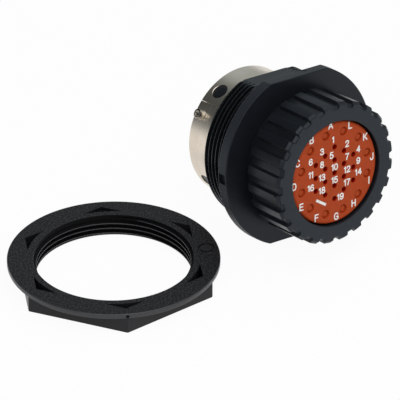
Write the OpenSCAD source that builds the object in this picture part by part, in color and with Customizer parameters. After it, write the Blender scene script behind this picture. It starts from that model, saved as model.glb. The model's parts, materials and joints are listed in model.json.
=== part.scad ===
// Panel receptacle of a heavy-duty circular connector, lying on its side with its panel nut beside it.
// In the connector's own frame z is the axis and runs rearward from the flange seat, towards the wires,
// and y is up, square to the flange flats. Lengths are in millimetres and angles in degrees.

/* [Mating end] */
// Diameter of the bore that takes the mating plug
cavity_d = 32.5; // [30:0.1:34]
// Depth of that bore, from its mouth to the interface seal
cavity_depth = 10.8; // [8:0.1:13]
// Wall of the moulded barrel round the bore
barrel_wall = 2.2; // [1.6:0.1:2.6]
// How far the barrel's mouth lies inside the metal shell
barrel_setback = 1.2; // [0.5:0.1:2.5]
// Width of the main keyway
main_key_w = 3.2; // [2.4:0.1:4]
// Width of the four minor keyways
minor_key_w = 2; // [1.4:0.1:2.4]
// Depth of the keyways
key_depth = 0.9; // [0.5:0.1:1.1]

/* [Bayonet shell] */
// Sheet thickness of the rolled shell
shell_wall = 0.9; // [0.6:0.1:1.2]
// How far the shell stands out past the panel thread
shell_reach = 11.05; // [9:0.05:14]
// How deep the shell seats in its slot in the housing
shell_seat = 3; // [2:0.1:5]
// Gap at the shell's butt seam
seam_gap = 0.12; // [0.05:0.01:0.3]
// Angle of the seam, from the right and seen from the rear
seam_angle = 139; // [135:0.5:143]
// Diameter of the snap holes
snap_d = 4.9; // [3:0.1:5.5]
// Distance of the snap holes from the shell's free end
snap_setback = 4.2; // [3.5:0.1:6]
// Angle of the first snap hole
snap_angle = 125; // [121:0.5:129]
// Angle between neighbouring snap holes
snap_pitch = 90; // [85:0.5:95]
// Number of snap holes; the third pin stands in the last quarter
snap_count = 3; // [2:1:3]
// Diameter of the bayonet pins
pin_d = 2.9; // [2:0.1:3.5]
// How far the pins stand out of the shell
pin_proud = 2; // [1.5:0.1:2.5]
// Distance of the pins from the shell's free end
pin_setback = 3; // [2:0.1:4]
// Angle of the first pin
pin_angle = 150.5; // [147:0.5:154]
// Diameter of the shank that rivets a pin into the shell
shank_d = 1.5; // [1.2:0.1:1.8]
// Diameter of the dimple in a pin's end
dimple_d = 1.4; // [0.8:0.1:1.6]
// Depth of that dimple
dimple_depth = 0.4; // [0.2:0.1:0.8]

/* [Panel thread and flange] */
// Outside diameter of the panel thread
thread_d = 46.2; // [44:0.1:50]
// Length of the panel thread
thread_len = 12.4; // [10:0.1:15]
// Depth of the panel thread
thread_depth = 0.75; // [0.5:0.05:1]
// Lead-in chamfer of the panel thread
thread_chamfer = 0.5; // [0.3:0.1:1]
// How much the flat on top of the thread takes off
thread_flat_cut = 2.25; // [0.5:0.05:3]
// How far the flange flats stand out past the thread
flange_step = 1.75; // [1:0.05:3]
// How far the round sides of the flange stand out past its flats
flange_round = 2.15; // [1:0.05:3.5]
// Thickness of the flange
flange_t = 3.6; // [2.5:0.1:5]
// Length of the gate notch in the flange's rim
gate_len = 3; // [2:0.1:5]
// Width of the gate notch
gate_w = 2.8; // [1:0.1:3]
// Depth of the gate notch
gate_depth = 1; // [0.2:0.1:1.4]
// Angle of the gate notch
gate_angle = 182; // [150:0.5:200]

/* [Inserts and seals] */
// Width of the shoulder that the insert stack seats on
seat_step = 0.95; // [0.6:0.05:1.2]
// Thickness of the interface seal
seal_t = 1.5; // [1:0.1:2]
// Thickness of the front insert
front_insert_t = 6.5; // [4:0.1:8]
// Thickness of the contact retention disc
retention_t = 3; // [2:0.1:4]
// Thickness of the rear insert
rear_insert_t = 8.5; // [6:0.1:10]
// Radius of the circle of large cavities
large_ring_r = 12.5; // [12:0.1:12.8]
// Number of large cavities
large_count = 12; // [8:1:12]
// Distance between neighbouring small cavities
small_pitch = 4; // [3.6:0.05:4.1]
// Visible diameter of the large recesses in the grommet
large_recess_d = 2.7; // [2.2:0.1:3.2]
// Depth of the large recesses
large_recess_depth = 0.9; // [0.4:0.1:1.5]
// Thickness of the skin under the large recesses
skin_t = 0.5; // [0.3:0.1:1]
// Diameter of the small wire holes in the grommet
wire_hole_d = 1.4; // [1:0.1:1.8]
// Diameter of the large contact cavities in the inserts
large_cavity_d = 3.6; // [3.2:0.1:4]
// Diameter of the small contact cavities in the inserts
small_cavity_d = 2.4; // [2:0.1:2.8]
// How much narrower the retention disc grips a contact
retention_grip = 0.5; // [0.2:0.1:0.8]

/* [Grip ring] */
// Wall of the threaded neck that the grip ring screws on
neck_wall = 1.8; // [1.4:0.1:2.6]
// Running clearance of the ring on the neck
ring_clear = 0.3; // [0.1:0.05:0.5]
// Wall of the ring, from its bore to the tops of its ribs
ring_wall = 2.25; // [1.8:0.05:3]
// Length of the ring
ring_len = 14; // [12:0.1:18]
// Gap between the flange and the ring when it is screwed home
ring_standoff = 3.15; // [1:0.05:4]
// Thickness of the ring's lip
lip_t = 3.7; // [2.5:0.1:5]
// How far the lip covers the grommet's shoulder
lip_cover = 1.25; // [0.8:0.05:1.8]
// Chamfer round the ring's face
crown = 0.8; // [0.4:0.1:1.2]
// Number of ribs
rib_count = 24; // [18:1:30]
// Share of the rib pitch that is rib
rib_share = 0.55; // [0.4:0.01:0.65]
// Depth of the grooves between ribs
rib_depth = 0.8; // [0.4:0.05:1]
// Angle of the middle of the first rib
rib_phase = 8.5; // [0:0.5:15]
// Thickness of the grommet follower
follower_t = 1.2; // [0.8:0.1:1.6]
// How far the grommet's face lies below the ring's face
grommet_recess = 0.8; // [0.4:0.1:1.5]
// Gap between the grommet and the ring's opening
grommet_gap = 0.35; // [0.2:0.05:0.6]
// How far the grommet's shoulder stands out of the neck
grommet_proud = 0.3; // [0.1:0.1:0.6]

/* [Panel nut] */
// Total height of the nut
nut_h = 6.5; // [5:0.1:9]
// Thickness of its round flange
nut_flange_t = 1.5; // [1:0.1:2.5]
// Wall between the bore and the hexagon's flats
nut_wall = 4.2; // [3.5:0.05:5]
// How far the round flange stands out past the hexagon's corners
nut_rim = 0.1; // [0.05:0.05:1.5]
// Chamfer at both ends of the bore
nut_chamfer = 0.5; // [0.2:0.1:0.8]
// Wall between the bore and the corner pockets
pocket_wall = 2.95; // [2:0.05:3.5]
// Wall between the corner pockets and the hexagon's flats
pocket_skin = 2.5; // [2:0.05:3]
// Depth of the corner pockets below the nut's face
pocket_depth = 4.2; // [2:0.1:4.5]
// How far the nut's rim reaches in beside the flange, past the flange's widest point
nut_tuck = 0.9; // [-30:0.1:4]
// Place of the nut's centre along the connector
nut_y = 10.7; // [-20:0.1:30]
// Turn of the nut's corners
nut_turn = 0; // [-30:1:30]

/* [Pose] */
// Tilt of the connector's axis as it lies, mating end down
lie_tilt = 7.25; // [0:0.25:12]
// Roll of the connector about its axis, onto a corner of its lower flat
lie_roll = -5.25; // [-10:0.25:10]

/* [Clearances] */
// Between pieces that are pushed together by hand
slip = 0.05; // [0.02:0.01:0.1]
// Between the follower and the faces that it slips on
slip_gap = 0.15; // [0.1:0.01:0.3]
// Small edge break on moulded edges
edge = 0.3; // [0.1:0.05:0.4]

/* [Hidden] */
$fn = 96;

// Room that a cut runs past the face it opens
past = 1;
black = [0.10, 0.10, 0.11];
nickel = [0.72, 0.69, 0.64];
silicone = [0.70, 0.22, 0.12];
grey = [0.42, 0.43, 0.44];

// Radii, from the mating bore outwards
cavity_r = cavity_d / 2;
bore_r = cavity_r + seat_step;
stack_r = bore_r - slip;
barrel_r = cavity_r + barrel_wall;
shell_in_r = barrel_r + slip;
shell_r = shell_in_r + shell_wall;
slot_r = shell_r + slip;
thread_r = thread_d / 2;
thread_flat_y = thread_r - thread_flat_cut;
flange_flat_y = thread_r + flange_step;
flange_r = flange_flat_y + flange_round;
neck_r = bore_r + neck_wall;
ring_bore_r = neck_r + ring_clear;
ring_r = ring_bore_r + ring_wall;
opening_r = bore_r - lip_cover;
grommet_top_r = opening_r - grommet_gap;

// Places along the axis
shell_front_z = -thread_len - shell_reach;
barrel_front_z = shell_front_z + barrel_setback;
seat_z = barrel_front_z + cavity_depth;
front_insert_z = seat_z + seal_t;
retention_z = front_insert_z + front_insert_t;
rear_insert_z = retention_z + retention_t;
grommet_z = rear_insert_z + rear_insert_t;
ring_z = flange_t + ring_standoff;
ring_face_z = ring_z + ring_len;
lip_z = ring_face_z - lip_t;
follower_z = lip_z - slip_gap - follower_t;
shoulder_z = follower_z - slip_gap;
neck_end_z = shoulder_z - grommet_proud;
grommet_face_z = ring_face_z - grommet_recess;

// Cavities of the contacts
large_turn = 90 + 180 / large_count;
small_rows = [3, 4, 5, 4, 3];
row_gap = small_pitch * sin(60);

// Bayonet pin rivets
pin_count = 3;
pin_z = shell_front_z + pin_setback;

// The floor is where the lowest of flange, thread and pins touches it
flat_corner = asin(flange_flat_y / flange_r);
flange_drop = flange_r * sin(min(90, flat_corner + abs(lie_roll)));
flange_low = flange_drop * cos(lie_tilt) - edge * sin(lie_tilt);
thread_low = thread_r * cos(lie_tilt) + (thread_len - thread_chamfer) * sin(lie_tilt);
pin_low = (shell_r + pin_proud) * cos(lie_tilt) + (pin_d / 2 - pin_z) * sin(lie_tilt);
floor_z = -max(flange_low, thread_low, pin_low);

// Keyways: the main one is at the top
minor_key_angles = [15, 165, 230, 310];

// Panel nut
nut_bore_r = thread_r - thread_depth;
nut_flat_r = nut_bore_r + nut_wall;
nut_corner_r = nut_flat_r / cos(30);
nut_flange_r = nut_corner_r + nut_rim;
pocket_base_r = nut_bore_r + pocket_wall;
pocket_corner_r = (nut_flat_r - pocket_skin) / cos(30);
nut_x = nut_tuck - flange_r - nut_flange_r;

// Puts a piece of the connector where it lies
module lying() {
    rotate([90 - lie_tilt, 0, 0])
        rotate(lie_roll)
            children();
}

// A radial cylinder at angle a and height z on the axis, from radius r0 to r1
module spoke(a, z, d, r0, r1) {
    rotate(a)
        translate([r0, 0, z])
            rotate([0, 90, 0])
                cylinder(d = d, h = r1 - r0);
}

// Drills the contact cavities through the thickness from z0 to z1
module cavities(z0, z1, large_d, small_d) {
    large_cavities(z0, z1, large_d);
    small_cavities(z0, z1, small_d);
}

module large_cavities(z0, z1, d) {
    for (k = [0 : large_count - 1])
        rotate(large_turn + k * 360 / large_count)
            translate([large_ring_r, 0, z0])
                cylinder(d = d, h = z1 - z0);
}

module small_cavities(z0, z1, d) {
    for (column = [0 : len(small_rows) - 1], k = [0 : small_rows[column] - 1])
        translate([
            (column - (len(small_rows) - 1) / 2) * row_gap,
            (k - (small_rows[column] - 1) / 2) * small_pitch,
            z0
        ])
            cylinder(d = d, h = z1 - z0);
}

module keyway(a, w) {
    rotate(a)
        translate([0, -w / 2, barrel_front_z - past])
            cube([cavity_r + key_depth, w, cavity_depth + past]);
}

// Half section of the housing
module housing_section() {
    polygon([
        [cavity_r + edge, barrel_front_z],
        [barrel_r - edge, barrel_front_z],
        [barrel_r, barrel_front_z + edge],
        [barrel_r, shell_seat - thread_len],
        [slot_r, shell_seat - thread_len],
        [slot_r, -thread_len],
        [thread_r - thread_chamfer, -thread_len],
        [thread_r, thread_chamfer - thread_len],
        [thread_r, 0],
        [flange_r - edge, 0],
        [flange_r, edge],
        [flange_r, flange_t - edge],
        [flange_r - edge, flange_t],
        [neck_r + edge, flange_t],
        [neck_r, flange_t + edge],
        [neck_r, neck_end_z - edge],
        [neck_r - edge, neck_end_z],
        [bore_r, neck_end_z],
        [bore_r, seat_z],
        [cavity_r, seat_z],
        [cavity_r, barrel_front_z + edge]
    ]);
}

// The two flange flats and the flat on top of the thread
module housing_flats() {
    for (side = [0, 180])
        rotate(side)
            translate([-flange_r, flange_flat_y, -past])
                cube([2 * flange_r, flange_r, flange_t + 2 * past]);
    translate([-thread_r, thread_flat_y, -thread_len - past])
        cube([2 * thread_r, thread_r, thread_len + past]);
}

module gate_notch() {
    rotate(gate_angle)
        translate([flange_r - gate_depth, -gate_len / 2, (flange_t - gate_w) / 2])
            cube([gate_depth + past, gate_len, gate_w]);
}

// Lugs on the barrel that snap into the shell's holes
module snap_lugs() {
    for (k = [0 : snap_count - 1])
        spoke(snap_angle + k * snap_pitch, shell_front_z + snap_setback,
            snap_d - 4 * slip, barrel_r - barrel_wall / 2, shell_r - edge);
}

module housing() {
    color(black)
        lying() {
            difference() {
                rotate_extrude() housing_section();
                housing_flats();
                gate_notch();
                keyway(90, main_key_w);
                for (a = minor_key_angles)
                    keyway(a, minor_key_w);
            }
            snap_lugs();
        }
}

module bayonet_shell() {
    shell_h = shell_reach + shell_seat;
    color(nickel)
        lying()
            difference() {
                translate([0, 0, shell_front_z])
                    cylinder(r = shell_r, h = shell_h);
                translate([0, 0, shell_front_z - past])
                    cylinder(r = shell_in_r, h = shell_h + 2 * past);
                for (k = [0 : snap_count - 1])
                    spoke(snap_angle + k * snap_pitch, shell_front_z + snap_setback,
                        snap_d, shell_in_r - past, shell_r + past);
                for (k = [0 : pin_count - 1])
                    spoke(pin_angle + k * 360 / pin_count, pin_z,
                        shank_d + 2 * slip, shell_in_r - past, shell_r + past);
                rotate(seam_angle)
                    translate([0, -seam_gap / 2, shell_front_z - past])
                        cube([shell_r + past, seam_gap, shell_h + 2 * past]);
            }
}

// A riveted bayonet pin: a shank through the shell and a dimpled head
module bayonet_pin(index) {
    a = pin_angle + index * 360 / pin_count;
    color(nickel)
        lying() {
            difference() {
                spoke(a, pin_z, pin_d, shell_in_r, shell_r + pin_proud);
                translate([0, 0, pin_z - pin_d])
                    cylinder(r = shell_r, h = 2 * pin_d);
                spoke(a, pin_z, dimple_d, shell_r + pin_proud - dimple_depth, shell_r + pin_proud + past);
            }
            spoke(a, pin_z, shank_d, shell_in_r + slip, shell_r + pin_proud / 2);
        }
}

// A drilled disc of the insert stack, from z to z + t
module stack_disc(z, t, large_d, small_d) {
    difference() {
        translate([0, 0, z])
            cylinder(r = stack_r, h = t);
        cavities(z - past, z + t + past, large_d, small_d);
    }
}

module interface_seal() {
    color(silicone) lying() stack_disc(seat_z, seal_t, large_recess_d, wire_hole_d);
}

module front_insert() {
    color(grey) lying() stack_disc(front_insert_z, front_insert_t, large_cavity_d, small_cavity_d);
}

module retention_disc() {
    color(black) lying() stack_disc(retention_z, retention_t, large_cavity_d - retention_grip,
        small_cavity_d - retention_grip);
}

module rear_insert() {
    color(grey) lying() stack_disc(rear_insert_z, rear_insert_t, large_cavity_d, small_cavity_d);
}

module wire_grommet() {
    skin_z = grommet_face_z - large_recess_depth - skin_t;
    color(silicone)
        lying()
            difference() {
                union() {
                    translate([0, 0, grommet_z])
                        cylinder(r = stack_r, h = shoulder_z - grommet_z);
                    translate([0, 0, grommet_z])
                        cylinder(r = grommet_top_r, h = grommet_face_z - grommet_z);
                }
                small_cavities(grommet_z - past, grommet_face_z + past, wire_hole_d);
                large_cavities(grommet_z - past, skin_z, large_cavity_d);
                large_cavities(skin_z + skin_t, grommet_face_z + past, large_recess_d);
            }
}

// Washer that keeps the turning ring from dragging on the grommet
module grommet_follower() {
    color(grey)
        lying()
            difference() {
                translate([0, 0, follower_z])
                    cylinder(r = ring_bore_r - ring_clear, h = follower_t);
                translate([0, 0, follower_z - past])
                    cylinder(r = opening_r, h = follower_t + 2 * past);
            }
}

// Half section of the grip ring
module ring_section() {
    polygon([
        [ring_bore_r + edge, ring_z],
        [ring_r - edge, ring_z],
        [ring_r, ring_z + edge],
        [ring_r, ring_face_z - crown],
        [ring_r - crown, ring_face_z],
        [opening_r + edge, ring_face_z],
        [opening_r, ring_face_z - edge],
        [opening_r, lip_z],
        [ring_bore_r, lip_z],
        [ring_bore_r, ring_z + edge]
    ]);
}

// Section of the groove between two ribs, with sloping sides
module groove_section() {
    rib_pitch = 2 * PI * ring_r / rib_count;
    top_w = (1 - rib_share) * rib_pitch;
    floor_w = top_w - rib_depth;
    slope = rib_depth / 2;
    polygon([
        [ring_r - rib_depth, -floor_w / 2],
        [ring_r - rib_depth, floor_w / 2],
        [ring_r + rib_depth, floor_w / 2 + 2 * slope],
        [ring_r + rib_depth, -floor_w / 2 - 2 * slope]
    ]);
}

module grip_ring() {
    color(black)
        lying()
            difference() {
                rotate_extrude() ring_section();
                for (k = [0 : rib_count - 1])
                    rotate(rib_phase + (k + 0.5) * 360 / rib_count)
                        translate([0, 0, ring_z - past])
                            linear_extrude(height = ring_len + 2 * past)
                                groove_section();
            }
}

// The nut lies with its round flange up
module panel_nut() {
    color(black)
        translate([nut_x, nut_y, floor_z])
            rotate(nut_turn)
                difference() {
                    union() {
                        cylinder(r = nut_corner_r, h = nut_h, $fn = 6);
                        translate([0, 0, nut_h - nut_flange_t])
                            cylinder(r = nut_flange_r, h = nut_flange_t);
                    }
                    translate([0, 0, -past])
                        cylinder(r = nut_bore_r, h = nut_h + 2 * past);
                    nut_lead_in();
                    translate([0, 0, nut_h])
                        mirror([0, 0, 1])
                            nut_lead_in();
                    translate([0, 0, nut_h - pocket_depth])
                        linear_extrude(height = pocket_depth + past)
                            pocket_section();
                }
}

module nut_lead_in() {
    translate([0, 0, -past])
        cylinder(r1 = nut_bore_r + nut_chamfer + past, r2 = nut_bore_r, h = nut_chamfer + past);
}

// The six corners that a smaller hexagon has outside the wall round the bore
module pocket_section() {
    difference() {
        circle(r = pocket_corner_r, $fn = 6);
        circle(r = pocket_base_r);
    }
}

housing();
bayonet_shell();
bayonet_pin(0);  // bayonet_pin_1
bayonet_pin(1);  // bayonet_pin_2
bayonet_pin(2);  // bayonet_pin_3
interface_seal();
front_insert();
retention_disc();
rear_insert();
wire_grommet();
grommet_follower();
grip_ring();
panel_nut();
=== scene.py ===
# Panel receptacle of a circular connector, lying on its side with its panel nut beside it
import json
from functools import partial
from math import acos, asin, cos, degrees, dist, hypot, pi, radians, sin, sqrt, tan, tau

import bmesh
import bpy
from mathutils import Matrix, Vector


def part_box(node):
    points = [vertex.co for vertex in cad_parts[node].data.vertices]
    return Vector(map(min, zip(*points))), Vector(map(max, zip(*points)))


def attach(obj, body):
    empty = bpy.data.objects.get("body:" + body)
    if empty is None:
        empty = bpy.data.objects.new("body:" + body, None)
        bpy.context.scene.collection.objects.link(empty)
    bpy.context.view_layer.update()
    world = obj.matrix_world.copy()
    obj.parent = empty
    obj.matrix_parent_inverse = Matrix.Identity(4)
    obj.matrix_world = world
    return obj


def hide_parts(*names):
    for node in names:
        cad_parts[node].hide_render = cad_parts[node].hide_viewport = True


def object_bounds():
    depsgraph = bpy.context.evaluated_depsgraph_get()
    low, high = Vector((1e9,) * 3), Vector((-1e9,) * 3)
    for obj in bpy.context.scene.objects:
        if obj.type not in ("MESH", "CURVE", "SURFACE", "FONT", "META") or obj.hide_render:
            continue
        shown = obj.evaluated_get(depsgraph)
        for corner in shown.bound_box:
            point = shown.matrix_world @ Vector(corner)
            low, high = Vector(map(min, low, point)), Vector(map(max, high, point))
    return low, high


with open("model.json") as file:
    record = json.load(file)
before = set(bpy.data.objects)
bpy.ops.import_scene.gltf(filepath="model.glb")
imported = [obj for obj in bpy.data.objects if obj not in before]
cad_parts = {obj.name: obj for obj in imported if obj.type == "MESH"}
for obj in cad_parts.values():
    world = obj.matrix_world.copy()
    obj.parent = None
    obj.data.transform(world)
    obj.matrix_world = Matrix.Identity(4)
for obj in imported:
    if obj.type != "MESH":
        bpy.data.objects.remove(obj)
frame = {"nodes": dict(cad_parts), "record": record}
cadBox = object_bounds()
scene = bpy.context.scene
mounts = {mount["name"]: mount for mount in frame["record"]["mounts"]}
mm = 0.001  # pieces are drawn in millimetres and placed in metres
print("frame loaded:", len(frame["nodes"]), "nodes")

# the connector's own frame: z runs rearward along the axis, y is square to the flange flats
rearward = -Vector(mounts["panel_thread"]["axis"])
sideways = Vector((1, 0, 0))
lieTurn = Matrix((sideways, rearward.cross(sideways), rearward)).transposed().to_4x4()
lieAngle = lieTurn.to_euler().x
lieRoll = -5.25  # it lies rolled onto a corner of its lower flat
lying = lieTurn @ Matrix.Rotation(radians(lieRoll), 4, "Z") @ Matrix.Scale(mm, 4)


def localBox(node):
    # lowest and highest corner of a node in the connector's frame, in millimetres
    points = [lying.inverted() @ vertex.co for vertex in frame["nodes"][node].data.vertices]
    return [Vector(pick(point[axis] for point in points) for axis in range(3)) for pick in (min, max)]


def linearColour(hexColour):
    channels = [int(hexColour[place:place + 2], 16) / 255 for place in (0, 2, 4)]
    return [c / 12.92 if c <= 0.04045 else ((c + 0.055) / 1.055) ** 2.4 for c in channels] + [1]


def addNode(tree, kind, inputs=None, **settings):
    # adds a node; an input is a value, a socket, or a node whose first output is taken
    node = tree.nodes.new(kind)
    for name, value in settings.items():
        setattr(node, name, value)
    for key, value in (inputs or {}).items():
        if isinstance(value, bpy.types.Node):
            value = value.outputs[0]
        if isinstance(value, bpy.types.NodeSocket):
            tree.links.new(value, node.inputs[key])
        else:
            node.inputs[key].default_value = value
    return node


def perMetre(size):
    # texture scale for a feature of that size in millimetres
    return 1 / (size * mm)


def newFinish(name, values, layers):
    # a material: plain values on the shader's own sockets, and layers of noise that drive the rest
    # a layer's size is in millimetres, and three sizes lie along the connector's own axes
    # it drives a tone (two colours), a satin (two noise values and the roughness at each)
    # or a relief (strength and height)
    finish = bpy.data.materials.new(name)
    finish.use_nodes = True
    links, add = finish.node_tree.links, partial(addNode, finish.node_tree)
    face = finish.node_tree.nodes["Principled BSDF"].inputs
    for key, value in values.items():
        face[key].default_value = linearColour(value) if isinstance(value, str) else value
    spot = add("ShaderNodeTexCoord").outputs["Object"]
    for layer in layers:
        where, scale = spot, 1
        if isinstance(layer["size"], tuple):
            turnedBack = add("ShaderNodeMapping", {"Vector": spot, "Rotation": (-lieAngle, 0, 0)})
            scales = [perMetre(size) for size in layer["size"]]
            where = add("ShaderNodeVectorMath", {0: turnedBack, 1: scales}, operation="MULTIPLY")
        else:
            scale = perMetre(layer["size"])
        noise = drive = add("ShaderNodeTexNoise", {
            "Vector": where, "Scale": scale, "Detail": layer["detail"],
            "Roughness": layer.get("roughness", 0.5)})
        if "spread" in layer:  # the noise between these two values is spread from 0 to 1
            low, high = layer["spread"]
            drive = add("ShaderNodeMapRange", {0: noise, 1: low, 2: high})
        if "tone" in layer:
            dark, light = (linearColour(shade) for shade in layer["tone"])
            tone = add("ShaderNodeMix", {0: drive, 6: dark, 7: light}, data_type="RGBA")
            links.new(tone.outputs[2], face["Base Color"])
        if "satin" in layer:
            low, high, roughLow, roughHigh = layer["satin"]
            satin = add("ShaderNodeMapRange", {0: drive, 1: low, 2: high, 3: roughLow, 4: roughHigh})
            links.new(satin.outputs[0], face["Roughness"])
        if "relief" in layer:
            strength, height = layer["relief"]
            relief = add("ShaderNodeBump", {"Strength": strength, "Distance": height * mm, "Height": noise})
            links.new(relief.outputs[0], face["Normal"])
    return finish


blueSheen = "E6F1FC"

# polyamide moulded in a finely eroded tool: blue-black, satin, with a tight grain and faint flow clouds
# its carbon black keeps the sheen low where it is seen squarely, and the sheen is a little blue
polyamide = newFinish("moulded black polyamide", {
    "IOR": 1.5, "Specular IOR Level": 0.29, "Specular Tint": blueSheen}, [
    {"size": 0.25, "detail": 3, "relief": (0.35, 0.01)},
    {"size": 7, "detail": 2, "tone": ("14161A", "1B1D22"), "satin": (0.3, 0.7, 0.3, 0.38)}])

# the ring's end face and the flange's rim are blasted, finer than the rest; they are also painted paler than
# the rest, as painted light for the light these faces catch
blastedPaintedLight = newFinish("blasted black polyamide", {
    "IOR": 1.5, "Specular IOR Level": 0.3, "Specular Tint": blueSheen, "Roughness": 0.5}, [
    {"size": 0.3, "detail": 3, "tone": ("22252A", "2B2E33"), "relief": (0.3, 0.02)}])

# the nut is of a drier, neutral black polyamide
dryPolyamide = newFinish("dry black polyamide", {"IOR": 1.5, "Specular IOR Level": 0.26}, [
    {"size": 4, "detail": 3, "tone": ("18181A", "212123"), "satin": (0.3, 0.7, 0.34, 0.46)}])

# its spark-eroded face scatters the light in specks
# the real pits are about 0.1 mm across; they are drawn 0.5 mm across to show
sparkGrain = newFinish("spark grained black polyamide", {"IOR": 1.5, "Specular IOR Level": 0.2}, [
    {"size": 0.5, "detail": 3, "roughness": 0.6, "spread": (0.45, 0.65), "tone": ("0B0B0C", "353537"),
     "satin": (0, 1, 0.6, 0.36), "relief": (0.6, 0.08)}])

# the panel thread comes glossier out of its polished core
threadGloss = newFinish("polished black polyamide", {
    "IOR": 1.5, "Specular Tint": blueSheen, "Base Color": "0C0D0F"}, [
    {"size": 2, "detail": 3, "satin": (0.3, 0.7, 0.18, 0.32)}])

# the nut's bore and the sides of its thread are dull, and darkened as painted shade for the deep valleys
dullPaintedShade = newFinish("dull black polyamide", {"IOR": 1.5, "Specular IOR Level": 0.06}, [
    {"size": 2, "detail": 2, "tone": ("070708", "0C0C0D")}])

# the nut's rim is rubbed smooth and paler; on the crests of its thread the same paler tone is a painted
# highlight
rubbedAndPaintedHighlight = newFinish("rubbed black polyamide", {"IOR": 1.5, "Specular IOR Level": 0.45}, [
    {"size": 3, "detail": 3, "tone": ("2E2E30", "3E3E40"), "satin": (0.3, 0.7, 0.3, 0.42)}])

# rolled sheet under satin nickel plate: warm grey, drawn round the circumference in fine lines
# the real lines are some 0.05 mm apart; they are drawn 0.35 mm apart to show
nickel = newFinish("satin nickel plate on rolled sheet", {"Metallic": 1}, [
    {"size": (9, 9, 0.35), "detail": 3, "roughness": 0.6, "satin": (0.25, 0.75, 0.24, 0.4),
     "relief": (0.25, 0.02)},
    {"size": 5, "detail": 2, "tone": ("D3C7B5", "EFE4D8")}])

# turned pins under the same plate: brighter, with small tool marks
turnedNickel = newFinish("nickel plate on turned pin", {"Metallic": 1}, [
    {"size": 0.4, "detail": 3, "tone": ("A39B90", "CEC6BB"), "satin": (0.3, 0.7, 0.1, 0.22)}])

# silicone rubber pigmented with iron oxide: matt, soft edged, with a faint mottle and a dusty grain
silicone = newFinish("moulded red oxide silicone", {"IOR": 1.41, "Specular IOR Level": 0.3}, [
    {"size": 2.2, "detail": 4, "tone": ("AA3E14", "BA4619")},
    {"size": 0.2, "detail": 2, "satin": (0, 1, 0.52, 0.68), "relief": (0.3, 0.015)}])

# the walls of the wire holes are painted a deeper, darker red: painted shade for the deep narrow holes
paintedShadeSilicone = newFinish("pierced red oxide silicone", {
    "Roughness": 0.5, "IOR": 1.41, "Specular IOR Level": 0.1}, [
    {"size": 1.5, "detail": 2, "tone": ("961203", "A81805")}])

# pad-printed ink: off-white, a little thin in places
printInk = newFinish("white pad print ink", {"Roughness": 0.55}, [
    {"size": 0.5, "detail": 3, "tone": ("F2EAE4", "FBF9F6")}])

# glass-filled thermoplastic of the inserts: dark grey, matt, with pale fibre flecks
filledPlastic = newFinish("glass filled thermoplastic", {"Roughness": 0.6, "IOR": 1.55}, [
    {"size": 0.35, "detail": 2, "tone": ("242528", "36373A")}])

# acetal of the follower: dense, dark and waxy
acetal = newFinish("moulded black acetal", {"Base Color": "1E1F22", "IOR": 1.48}, [
    {"size": 3, "detail": 2, "satin": (0, 1, 0.28, 0.42)}])
print("materials made:", len(bpy.data.materials))


def rounded(corners, steps=5):
    # a closed outline from corners (a, b, fillet)
    outline = []
    for index, (a, b, fillet) in enumerate(corners):
        here = Vector((a, b))
        if not fillet:
            outline.append(here)
            continue
        before = (Vector(corners[index - 1][:2]) - here).normalized()
        after = (Vector(corners[(index + 1) % len(corners)][:2]) - here).normalized()
        half = before.angle(after) / 2
        middle = here + (before + after).normalized() * fillet / sin(half)
        start = here + before * fillet / tan(half) - middle
        sweep = (pi - 2 * half) * (1 if before.x * after.y - before.y * after.x < 0 else -1)
        for step in range(steps + 1):
            outline.append(middle + Matrix.Rotation(sweep * step / steps, 2) @ start)
    return outline


def lofted(name, rings, closed=False):
    # bridges rings of equal count; closed joins the last to the first, or else both ends are capped
    work = bmesh.new()
    loops = [[work.verts.new(point) for point in ring] for ring in rings]
    for low, high in zip(loops, loops[1:] + loops[:1] if closed else loops[1:]):
        for k in range(len(low)):
            work.faces.new((low[k - 1], low[k], high[k], high[k - 1]))
    if not closed:
        work.faces.new(loops[0])
        work.faces.new(loops[-1])
    bmesh.ops.recalc_face_normals(work, faces=work.faces)
    mesh = bpy.data.meshes.new(name)
    work.to_mesh(mesh)
    work.free()
    return mesh


def evenAngles(count, extra=()):
    return sorted({round(k * 360 / count, 5) for k in range(count)} | {round(a % 360, 5) for a in extra})


def circle(r, z, angles):
    return [(r * cos(radians(a)), r * sin(radians(a)), z) for a in angles]


def places(spots):
    mesh = bpy.data.meshes.new("places")
    mesh.from_pydata(spots, [], [])
    return mesh


def bakeTree(name, tree, values, mesh=None):
    # runs a node tree on a mesh and gives back the plain mesh that it makes
    carrier = bpy.data.objects.new(name, mesh or bpy.data.meshes.new(name))
    scene.collection.objects.link(carrier)
    modifier = carrier.modifiers.new(tree.name, "NODES")
    modifier.node_group = tree
    helpers = []
    for item in tree.interface.items_tree:
        if item.in_out == "INPUT" and item.name in values:
            value = values[item.name]
            if isinstance(value, bpy.types.Mesh):
                value = bpy.data.objects.new(value.name, value)
                scene.collection.objects.link(value)
                helpers.append(value)
            modifier[item.identifier] = value
    graph = bpy.context.evaluated_depsgraph_get()
    made = bpy.data.meshes.new_from_object(carrier.evaluated_get(graph), depsgraph=graph)
    carrier.modifiers.remove(modifier)
    for used in [carrier] + helpers:
        bpy.data.objects.remove(used)
    made.name = name
    return made


weld = 0.0004  # corners nearer than this, in millimetres, become one
sliver = 0.0002  # edges shorter than this are dissolved


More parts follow.
